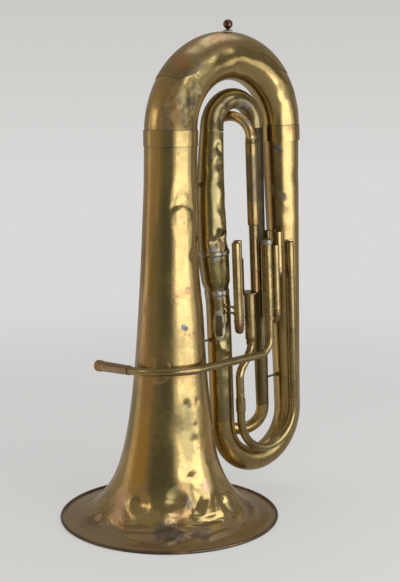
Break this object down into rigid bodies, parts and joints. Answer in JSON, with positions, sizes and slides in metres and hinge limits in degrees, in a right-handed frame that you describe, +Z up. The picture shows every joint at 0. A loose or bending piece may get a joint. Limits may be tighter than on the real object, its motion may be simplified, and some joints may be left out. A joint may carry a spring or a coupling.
{
  "type": "contrabass saxhorn",
  "caption": "Aged brass contrabass saxhorn stood on its bell, an upright low brass horn of nested bows with tuning and valve slides; its valves are absent.",
  "frame": {"origin": "on the floor under the middle of the bounding box, the horn standing on its bell", "axes": "+Z up the bell's axis, +X from the bell toward the outer branch, +Y toward the player's side, where the mouthpiece receiver points"},
  "size_m": [0.5692, 0.4294, 0.9639],
  "materials": {
    "aged_brass": "worn lacquer-free brass, half bright",
    "dark_brass": "dark tarnish",
    "copper_brown_brass": "brown patina",
    "grey_solder": "brass under smeared solder"
  },
  "bodies": {
    "horn": {"bell": "aged_brass", "bell_rim_wire": "dark_brass", "bell_ferrule": "aged_brass", "top_bow": "aged_brass", "top_bow_guard": "aged_brass", "finial_base": "aged_brass", "finial_ball": "copper_brown_brass", "outer_branch": "aged_brass", "branch_ferrule": "aged_brass", "bottom_bow_outer": "aged_brass", "bottom_bow_inner": "aged_brass", "left_branch_lower": "aged_brass", "left_branch_funnel": "aged_brass", "left_branch_upper": "aged_brass", "lower_solder_ring": "grey_solder", "upper_solder_ring": "grey_solder", "inner_top_bow": "aged_brass", "rear_tube": "dark_brass", "rear_bottom_bow": "aged_brass", "rear_leg": "aged_brass", "inner_crook": "aged_brass", "inner_crook_ring": "grey_solder", "riser_tube": "aged_brass", "joint_plate": "dark_brass", "slide_sleeve": "aged_brass", "open_valve_stub": "dark_brass", "goose_neck": "aged_brass", "first_slide_front_leg": "aged_brass", "first_slide_rear_leg": "aged_brass", "second_slide_front_leg": "aged_brass", "second_slide_rear_leg": "aged_brass", "third_slide_front_leg": "aged_brass", "third_slide_rear_leg": "aged_brass", "tuning_ferrule": "aged_brass", "valve_exit_tube": "aged_brass", "leadpipe": "aged_brass", "leadpipe_riser": "aged_brass", "leadpipe_joint_ring": "aged_brass", "leadpipe_top_ring": "grey_solder", "mouthpiece_receiver": "copper_brown_brass", "leadpipe_flange": "grey_solder", "third_slide_stay_upper": "aged_brass", "third_slide_stay_lower": "aged_brass", "first_slide_stay": "aged_brass", "second_slide_stay": "dark_brass", "exit_tube_stay": "grey_solder", "rear_tube_stay": "dark_brass", "rear_leg_stay": "dark_brass", "bell_stay_upper": "dark_brass", "bell_stay_lower": "dark_brass", "lyre_plate": "aged_brass", "lyre_socket": "aged_brass"},
    "tuning_slide_body": {"tuning_slide": "aged_brass"},
    "first_slide_body": {"first_slide_crook": "copper_brown_brass"},
    "second_slide_body": {"second_slide_crook": "copper_brown_brass"},
    "third_slide_body": {"third_slide_crook": "copper_brown_brass"},
    "thumbscrew_body": {"lyre_thumbscrew": "aged_brass"}
  },
  "joints": [
    {"name": "main_tuning_slide", "type": "slide", "parent": "horn", "child": "tuning_slide_body", "axis": [0.0523, 0, -0.9986], "range_m": [0, 0.045]},
    {"name": "first_valve_slide", "type": "slide", "parent": "horn", "child": "first_slide_body", "axis": [0.0523, 0, -0.9986], "range_m": [0, 0.045]},
    {"name": "second_valve_slide", "type": "slide", "parent": "horn", "child": "second_slide_body", "axis": [0.0523, 0, -0.9986], "range_m": [0, 0.045]},
    {"name": "third_valve_slide", "type": "slide", "parent": "horn", "child": "third_slide_body", "axis": [0.0523, 0, -0.9986], "range_m": [0, 0.03]},
    {"name": "lyre_thumbscrew_turn", "type": "hinge", "parent": "horn", "child": "thumbscrew_body", "pos_m": [0.03994, -0.02342, 0.36825], "axis": [0.7537, -0.6561, 0.0395], "range_deg": [0, 360]}
  ]
}
